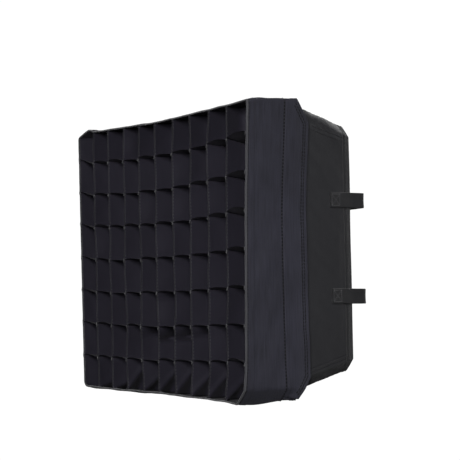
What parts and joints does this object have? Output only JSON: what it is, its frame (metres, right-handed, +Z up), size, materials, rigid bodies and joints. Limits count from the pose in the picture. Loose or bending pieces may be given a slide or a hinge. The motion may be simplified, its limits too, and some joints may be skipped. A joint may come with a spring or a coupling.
{
  "type": "panel light softbox with fabric grid",
  "caption": "Tapered rectangular fabric softbox for a panel light, with a pull-off front diffuser, a pull-off egg-crate grid with peel-back flaps, and wrap-round straps at the rear.",
  "frame": {"origin": "on the front's centre line, in the plane of the rear opening, where the softbox seats on the light", "axes": "+Z up, -Y towards the lit front, +Y towards the light that it is strapped to, +X to the right seen from the front"},
  "size_m": [0.36, 0.1576, 0.288],
  "materials": {
    "skirt_nylon": "woven nylon, blue-black, matt with a soft sheen",
    "grid_satin": "smooth black satin-faced fabric, low sheen",
    "shell_nylon": "coated woven nylon, black, matt",
    "silver_lining": "silver coated reflective lining, semi gloss",
    "board": "stiffener sheet, matt black",
    "hook_and_loop": "hook and loop tape, fuzzy, matt black",
    "webbing": "ribbed woven tape, matt black",
    "diffuser_cloth": "translucent white diffusion cloth, matt"
  },
  "bodies": {
    "softbox": {"shell_top": "shell_nylon", "shell_right": "shell_nylon", "shell_bottom": "shell_nylon", "shell_left": "shell_nylon", "board_top": "board", "board_right": "board", "board_bottom": "board", "board_left": "board", "lining_top": "silver_lining", "lining_right": "silver_lining", "lining_bottom": "silver_lining", "lining_left": "silver_lining", "loop_tape_top": "hook_and_loop", "loop_tape_right": "hook_and_loop", "loop_tape_bottom": "hook_and_loop", "loop_tape_left": "hook_and_loop", "corner_top_right": "shell_nylon", "corner_top_left": "shell_nylon", "corner_bottom_left": "shell_nylon", "corner_bottom_right": "shell_nylon", "rear_hem": "webbing", "strap_anchor_right_upper": "webbing", "strap_anchor_right_lower": "webbing", "strap_anchor_left_upper": "webbing", "strap_anchor_left_lower": "webbing"},
    "diffuser": {"front_diffuser": "diffuser_cloth"},
    "grid": {"skirt_top": "skirt_nylon", "skirt_right": "skirt_nylon", "skirt_bottom": "skirt_nylon", "skirt_left": "skirt_nylon", "grid_upright_1": "grid_satin", "grid_upright_2": "grid_satin", "grid_upright_3": "grid_satin", "grid_upright_4": "grid_satin", "grid_upright_5": "grid_satin", "grid_upright_6": "grid_satin", "grid_upright_7": "grid_satin", "grid_upright_8": "grid_satin", "grid_upright_9": "grid_satin", "grid_level_1": "grid_satin", "grid_level_2": "grid_satin", "grid_level_3": "grid_satin", "grid_level_4": "grid_satin", "grid_level_5": "grid_satin", "grid_level_6": "grid_satin", "grid_level_7": "grid_satin"},
    "flap_top": {"flap_top": "skirt_nylon", "flap_hook_top": "hook_and_loop"},
    "flap_right": {"flap_right": "skirt_nylon", "flap_hook_right": "hook_and_loop"},
    "flap_bottom": {"flap_bottom": "skirt_nylon", "flap_hook_bottom": "hook_and_loop"},
    "flap_left": {"flap_left": "skirt_nylon", "flap_hook_left": "hook_and_loop"},
    "strap_right_upper": {"strap_right_upper": "webbing"},
    "strap_right_lower": {"strap_right_lower": "webbing"},
    "strap_left_upper": {"strap_left_upper": "webbing"},
    "strap_left_lower": {"strap_left_lower": "webbing"}
  },
  "joints": [
    {"name": "diffuser_pull_off", "type": "slide", "parent": "softbox", "child": "diffuser", "axis": [0, -1, 0], "range_m": [0, 0.1]},
    {"name": "grid_pull_off", "type": "slide", "parent": "diffuser", "child": "grid", "axis": [0, -1, 0], "range_m": [0, 0.1]},
    {"name": "flap_top_peel", "type": "hinge", "parent": "grid", "child": "flap_top", "pos_m": [0, -0.0951, 0.144], "axis": [1, 0, 0], "range_deg": [0, 120]},
    {"name": "flap_right_peel", "type": "hinge", "parent": "grid", "child": "flap_right", "pos_m": [0.18, -0.0951, 0], "axis": [0, 0, -1], "range_deg": [0, 120]},
    {"name": "flap_bottom_peel", "type": "hinge", "parent": "grid", "child": "flap_bottom", "pos_m": [0, -0.0951, -0.144], "axis": [-1, 0, 0], "range_deg": [0, 120]},
    {"name": "flap_left_peel", "type": "hinge", "parent": "grid", "child": "flap_left", "pos_m": [-0.18, -0.0951, 0], "axis": [0, 0, 1], "range_deg": [0, 120]},
    {"name": "strap_right_upper_peel", "type": "hinge", "parent": "softbox", "child": "strap_right_upper", "pos_m": [0.1612, -0.0147, 0.052], "axis": [0, 0, -1], "range_deg": [0, 110]},
    {"name": "strap_right_lower_peel", "type": "hinge", "parent": "softbox", "child": "strap_right_lower", "pos_m": [0.1612, -0.0147, -0.044], "axis": [0, 0, -1], "range_deg": [0, 110]},
    {"name": "strap_left_upper_peel", "type": "hinge", "parent": "softbox", "child": "strap_left_upper", "pos_m": [-0.1612, -0.0147, 0.052], "axis": [0, 0, 1], "range_deg": [0, 110]},
    {"name": "strap_left_lower_peel", "type": "hinge", "parent": "softbox", "child": "strap_left_lower", "pos_m": [-0.1612, -0.0147, -0.044], "axis": [0, 0, 1], "range_deg": [0, 110]}
  ]
}
